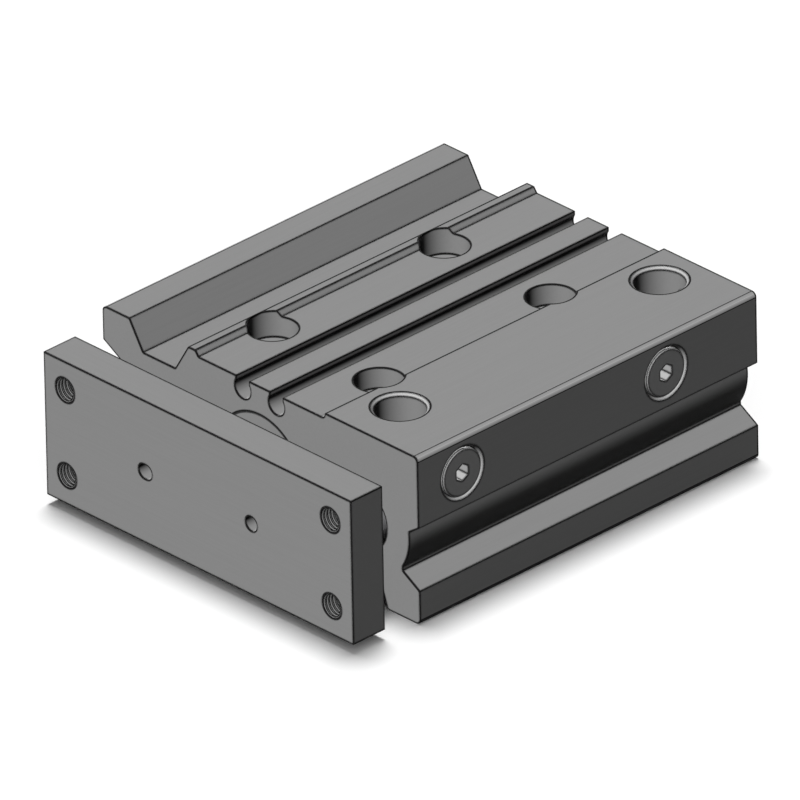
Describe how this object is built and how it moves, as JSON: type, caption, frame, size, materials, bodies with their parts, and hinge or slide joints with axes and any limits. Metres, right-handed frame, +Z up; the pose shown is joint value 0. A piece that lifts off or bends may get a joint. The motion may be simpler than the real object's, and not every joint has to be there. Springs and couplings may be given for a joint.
{
  "type": "compact guided cylinder",
  "caption": "Compact air cylinder in a grooved aluminium block; a flat front plate rides on two guide rods beside the piston rod and slides out.",
  "frame": {"origin": "under the middle of the retracted cylinder, on the face that it rests on", "axes": "+X across the width, +Y from the plate to the rear, +Z up"},
  "size_m": [0.083, 0.103, 0.035],
  "materials": {
    "body_aluminium": "satin anodised",
    "plate_steel": "satin ground",
    "rod_chrome": "polished hard chrome",
    "plug_steel": "satin zinc plated",
    "inner_aluminium": "turned",
    "bronze": "sintered",
    "ring_steel": "phosphated",
    "seal_rubber": "matt",
    "magnet": "bonded magnet",
    "wear_plastic": "low friction plastic",
    "felt": "oiled felt"
  },
  "bodies": {
    "housing": {"cylinder_body": "body_aluminium", "front_collar": "inner_aluminium", "collar_gasket": "seal_rubber", "rod_seal": "seal_rubber", "rod_bushing": "bronze", "front_retaining_ring": "ring_steel", "front_bumper": "seal_rubber", "rear_bumper": "seal_rubber", "head_cover": "inner_aluminium", "head_gasket": "seal_rubber", "rear_retaining_ring": "ring_steel", "guide_wiper_left": "felt", "guide_wiper_right": "felt", "guide_bearing_front_left": "bronze", "guide_bearing_front_right": "bronze", "guide_bearing_rear_left": "bronze", "guide_bearing_rear_right": "bronze", "guide_retaining_ring_left": "ring_steel", "guide_retaining_ring_right": "ring_steel", "port_plug_front": "plug_steel", "port_plug_rear": "plug_steel", "gallery_ball": "rod_chrome"},
    "carriage": {"end_plate": "plate_steel", "guide_rod_left": "rod_chrome", "guide_rod_right": "rod_chrome", "piston_rod": "rod_chrome", "piston": "inner_aluminium", "piston_seal": "seal_rubber", "wear_ring": "wear_plastic", "piston_magnet": "magnet", "piston_screw": "plug_steel"}
  },
  "joints": [
    {"name": "stroke", "type": "slide", "parent": "housing", "child": "carriage", "axis": [0, -1, 0], "range_m": [0, 0.05]}
  ]
}
